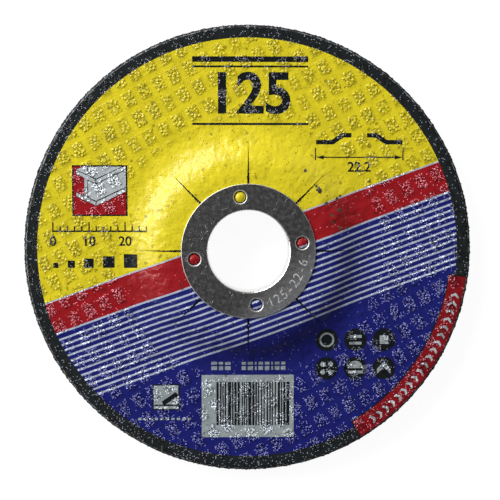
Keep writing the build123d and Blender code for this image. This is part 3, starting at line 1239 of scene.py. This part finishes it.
def pressed_steel():
    """Blanked and flanged sheet steel, tumbled.

    It is dull grey with fine scratches and specks, and burnished bright where the tools ran:
    round the holes, the rim and the bore's bend. The scratches lie a quarter of a millimetre
    apart, far coarser than a tumbler leaves them, so that they show.
    """
    made, tree = new_material("pressed_steel")
    place = surface_place(tree)
    x, y, _ = place
    scratches = None
    for turn in (0.3, 1.1, 1.9, 2.7):
        cos, sin = math.cos(turn), math.sin(turn)
        along = ((x * cos + y * sin) * 0.07, y * cos - x * sin, 0.0)
        noise = add_node(tree, "ShaderNodeTexNoise", {
            "Vector": along, "Scale": 3600.0, "Detail": 2.0})
        one = Signal(tree, noise.outputs[0]).ramp(0.65, 0.76)
        scratches = one if scratches is None else scratches.apply("MAXIMUM", one)
    cloud = add_node(tree, "ShaderNodeTexNoise", {"Vector": place, "Scale": 900.0, "Detail": 6.0})
    cloud = Signal(tree, cloud.outputs[0]).ramp(0.3, 0.75)
    pits, lot, _ = grain_domes(tree, place, 0.45 * MM)
    to_hole = from_hole(x, y)
    radius = length_of(x, y)
    hole_rims, flange_rim = to_hole.ramp(2.1 * MM, 1.95 * MM), radius.ramp(18.3 * MM, 18.4 * MM)
    worn = hole_rims.apply("MAXIMUM", flange_rim)
    burnished = radius.ramp(11.8 * MM, 11.5 * MM)
    # Painted reflection: the steel is painted lighter towards the lower right, standing in for the
    # light it reflects there.
    painted_light_lower_right = (x - y).ramp(10 * MM, 24 * MM)
    colour = layered(
        tree, "#989593",
        ("#A7A5A7", cloud),
        ("#F6F6F8", painted_light_lower_right),
        ("#161617", (pits > 0.6) * (lot > 0.86) * 0.7),
        ("#D8D8D8", (pits > 0.7) * (lot < 0.06) * 0.8),
        ("#D4D5D6", scratches * 0.5),
        ("#D6D6D4", worn),
        ("#EFEFED", burnished))
    rough = cloud * 0.1 + 0.3 + scratches * 0.15
    rough = rough * worn.inverse() * burnished.inverse() + worn * 0.55 + burnished * 0.25
    bump = add_node(tree, "ShaderNodeBump", {
        "Height": scratches * 0.9 - pits * 0.3, "Distance": 0.03 * MM, "Strength": 0.6})
    shader = add_node(tree, "ShaderNodeBsdfPrincipled", {
        "Base Color": colour, "Metallic": 1.0, "Roughness": rough, "Normal": bump.outputs[0]})
    add_node(tree, "ShaderNodeOutputMaterial", {0: shader.outputs[0]})
    return made


def struck_steel():
    """Bottom of a mark struck with a steel punch: brighter than the tumbled skin round it."""
    made, tree = new_material("struck_steel")
    worn = add_node(tree, "ShaderNodeTexNoise", {
        "Vector": surface_place(tree), "Scale": 1500.0, "Detail": 3.0})
    worn = Signal(tree, worn.outputs[0]).ramp(0.35, 0.55)
    colour = layered(tree, "#8C8C8D", ("#CFCFCD", worn))
    shader = add_node(tree, "ShaderNodeBsdfPrincipled", {
        "Base Color": colour, "Metallic": 0.6, "Roughness": 0.6})
    add_node(tree, "ShaderNodeOutputMaterial", {0: shader.outputs[0]})
    return made


def printed_ink(name, colour):
    """One offset ink over the label's print, under the same varnish."""
    made, tree = new_material(name)
    x, y, _ = surface_place(tree)
    ink = add_node(tree, "ShaderNodeRGB")
    ink.outputs[0].default_value = linear(colour)
    ink_finish(tree, ink.outputs[0], x, y, bpy.context.scene.net_relief)
    return made


def pale_floor():
    """Matt white board. Seen directly it is white, with the wheel's faint shadow."""
    made, tree = new_material("pale_floor")
    rays = add_node(tree, "ShaderNodeLightPath").outputs
    seen = Signal(tree, rays["Is Camera Ray"]) + Signal(tree, rays["Is Glossy Ray"])
    seen = (seen + Signal(tree, rays["Is Transmission Ray"])).apply("MINIMUM", 1.0)
    board = add_node(tree, "ShaderNodeBsdfDiffuse", {"Color": (0.8, 0.8, 0.8, 1.0)})
    faint = add_node(tree, "ShaderNodeBsdfDiffuse", {"Color": (0.11, 0.11, 0.11, 1.0)})
    white = add_node(tree, "ShaderNodeEmission", {"Color": (1.0, 1.0, 1.0, 1.0), "Strength": 0.94})
    shown = add_node(tree, "ShaderNodeAddShader", {0: faint.outputs[0], 1: white.outputs[0]})
    both = add_node(tree, "ShaderNodeMixShader", {
        0: seen, 1: board.outputs[0], 2: shown.outputs[0]})
    add_node(tree, "ShaderNodeOutputMaterial", {0: both.outputs[0]})
    return made


class SetUpStudio(bpy.types.Operator):
    """White board, camera above the wheel, and lamps from the upper left"""

    bl_idname = "grinding_wheel.studio"
    bl_label = "Studio"

    def execute(self, context):
        studio = context.scene.studio
        self.add_floor()
        self.add_world(context.scene, studio)
        self.add_lamp("key", 138, 31, (1.3, 0.3), studio.key_power)
        self.add_lamp("side", 170, 31, (0.9, 0.5), studio.key_power * 0.28)
        fill = self.add_lamp("fill", 42, 30, (0.7, 0.7), studio.key_power * 0.25)
        fill.visible_glossy = False
        self.add_camera(context.scene, studio)
        context.scene.view_settings.view_transform = "Standard"
        return {"FINISHED"}

    def add_floor(self):
        half = 1.5
        mesh = bpy.data.meshes.new("floor")
        corners = [(-half, -half, 0), (half, -half, 0), (half, half, 0), (-half, half, 0)]
        mesh.from_pydata(corners, [], [(0, 1, 2, 3)])
        mesh.materials.append(pale_floor())
        link_object("floor", mesh)

    def add_world(self, scene, studio):
        world = bpy.data.worlds.new("studio")
        world.use_nodes = True
        tree = world.node_tree
        tree.nodes.clear()
        rays = add_node(tree, "ShaderNodeLightPath").outputs
        east, north, height = split(
            tree, add_node(tree, "ShaderNodeTexCoord").outputs["Generated"])
        horizon = Signal(tree, rays["Is Glossy Ray"]) * height.ramp(0.4, 0.1)
        horizon = horizon * ((north - east).ramp(-0.5, 0.7) * 0.8 + 0.2)
        soft = add_node(tree, "ShaderNodeBackground", {
            "Color": (0.96, 0.98, 1.0, 1.0), "Strength": horizon * 0.8 + studio.sky})
        white = add_node(tree, "ShaderNodeBackground", {"Strength": 1.0, "Color": (1, 1, 1, 1)})
        both = add_node(tree, "ShaderNodeMixShader", {
            0: rays["Is Camera Ray"], 1: soft.outputs[0], 2: white.outputs[0]})
        add_node(tree, "ShaderNodeOutputWorld", {0: both.outputs[0]})
        scene.world = world

    def add_lamp(self, name, azimuth, elevation, size, power):
        """Lamp of a size in metres in a direction in degrees, aimed at the wheel."""
        distance = 1.2
        lamp = bpy.data.lights.new(name, "AREA")
        lamp.energy = power
        lamp.shape = "RECTANGLE"
        lamp.size, lamp.size_y = size
        turn, lift = math.radians(azimuth), math.radians(elevation)
        direction = Vector((
            math.cos(turn) * math.cos(lift), math.sin(turn) * math.cos(lift), math.sin(lift)))
        placed = link_object(name, lamp)
        placed.location = direction * distance
        placed.rotation_euler = direction.to_track_quat("Z", "Y").to_euler()
        return placed

    def add_camera(self, scene, studio):
        data = bpy.data.cameras.new("camera")
        data.lens = data.sensor_width * studio.distance / studio.view_width
        data.clip_start, data.clip_end = 0.01, 10.0
        camera = link_object("camera", data)
        aim = Vector((studio.aim_x, studio.aim_y, label_low.z))
        lean = math.sin(studio.tilt)
        back = Vector((
            lean * math.cos(studio.bearing), lean * math.sin(studio.bearing),
            math.cos(studio.tilt)))
        side = Vector((0, 1, 0)).cross(back).normalized()
        up = back.cross(side)
        turn = Matrix((side, up, back)).transposed().to_4x4()
        camera.matrix_world = Matrix.Translation(aim + back * studio.distance) @ turn
        scene.camera = camera


class GrindingWheelPanel(bpy.types.Panel):
    """Lists the wheel's pieces and sizes"""

    bl_idname = "VIEW3D_PT_grinding_wheel"
    bl_label = "Grinding Wheel"
    bl_space_type = "VIEW_3D"
    bl_region_type = "UI"
    bl_category = "Grinding Wheel"

    def draw(self, context):
        for operator in OPERATORS:
            self.layout.operator(operator.bl_idname)
        for name, group in GROUPS.items():
            for prop in group.__annotations__:
                self.layout.prop(getattr(context.scene, name), prop)


OPERATORS = (AddAbrasiveBody, AddPaperLabel, PrintMarks, DressBoreRing, StrikeRing, SetUpStudio)
GROUPS = {
    "wheel_shape": WheelShape,
    "net_relief": NetRelief,
    "label_print": LabelPrint,
    "studio": Studio,
}


def register():
    for group in GROUPS.values():
        bpy.utils.register_class(group)
    for name, group in GROUPS.items():
        setattr(bpy.types.Scene, name, bpy.props.PointerProperty(type=group))
    for operator in OPERATORS:
        bpy.utils.register_class(operator)
    bpy.utils.register_class(GrindingWheelPanel)


def unregister():
    bpy.utils.unregister_class(GrindingWheelPanel)
    for operator in reversed(OPERATORS):
        bpy.utils.unregister_class(operator)
    for name in GROUPS:
        delattr(bpy.types.Scene, name)
    for group in reversed(list(GROUPS.values())):
        bpy.utils.unregister_class(group)


def main():
    register()
    bpy.ops.grinding_wheel.studio()
    bpy.ops.grinding_wheel.abrasive_body()
    bpy.ops.grinding_wheel.paper_label()
    bpy.ops.grinding_wheel.print_marks()
    bpy.ops.grinding_wheel.bore_ring()
    bpy.ops.grinding_wheel.struck_figures()


if __name__ == "__main__":
    main()
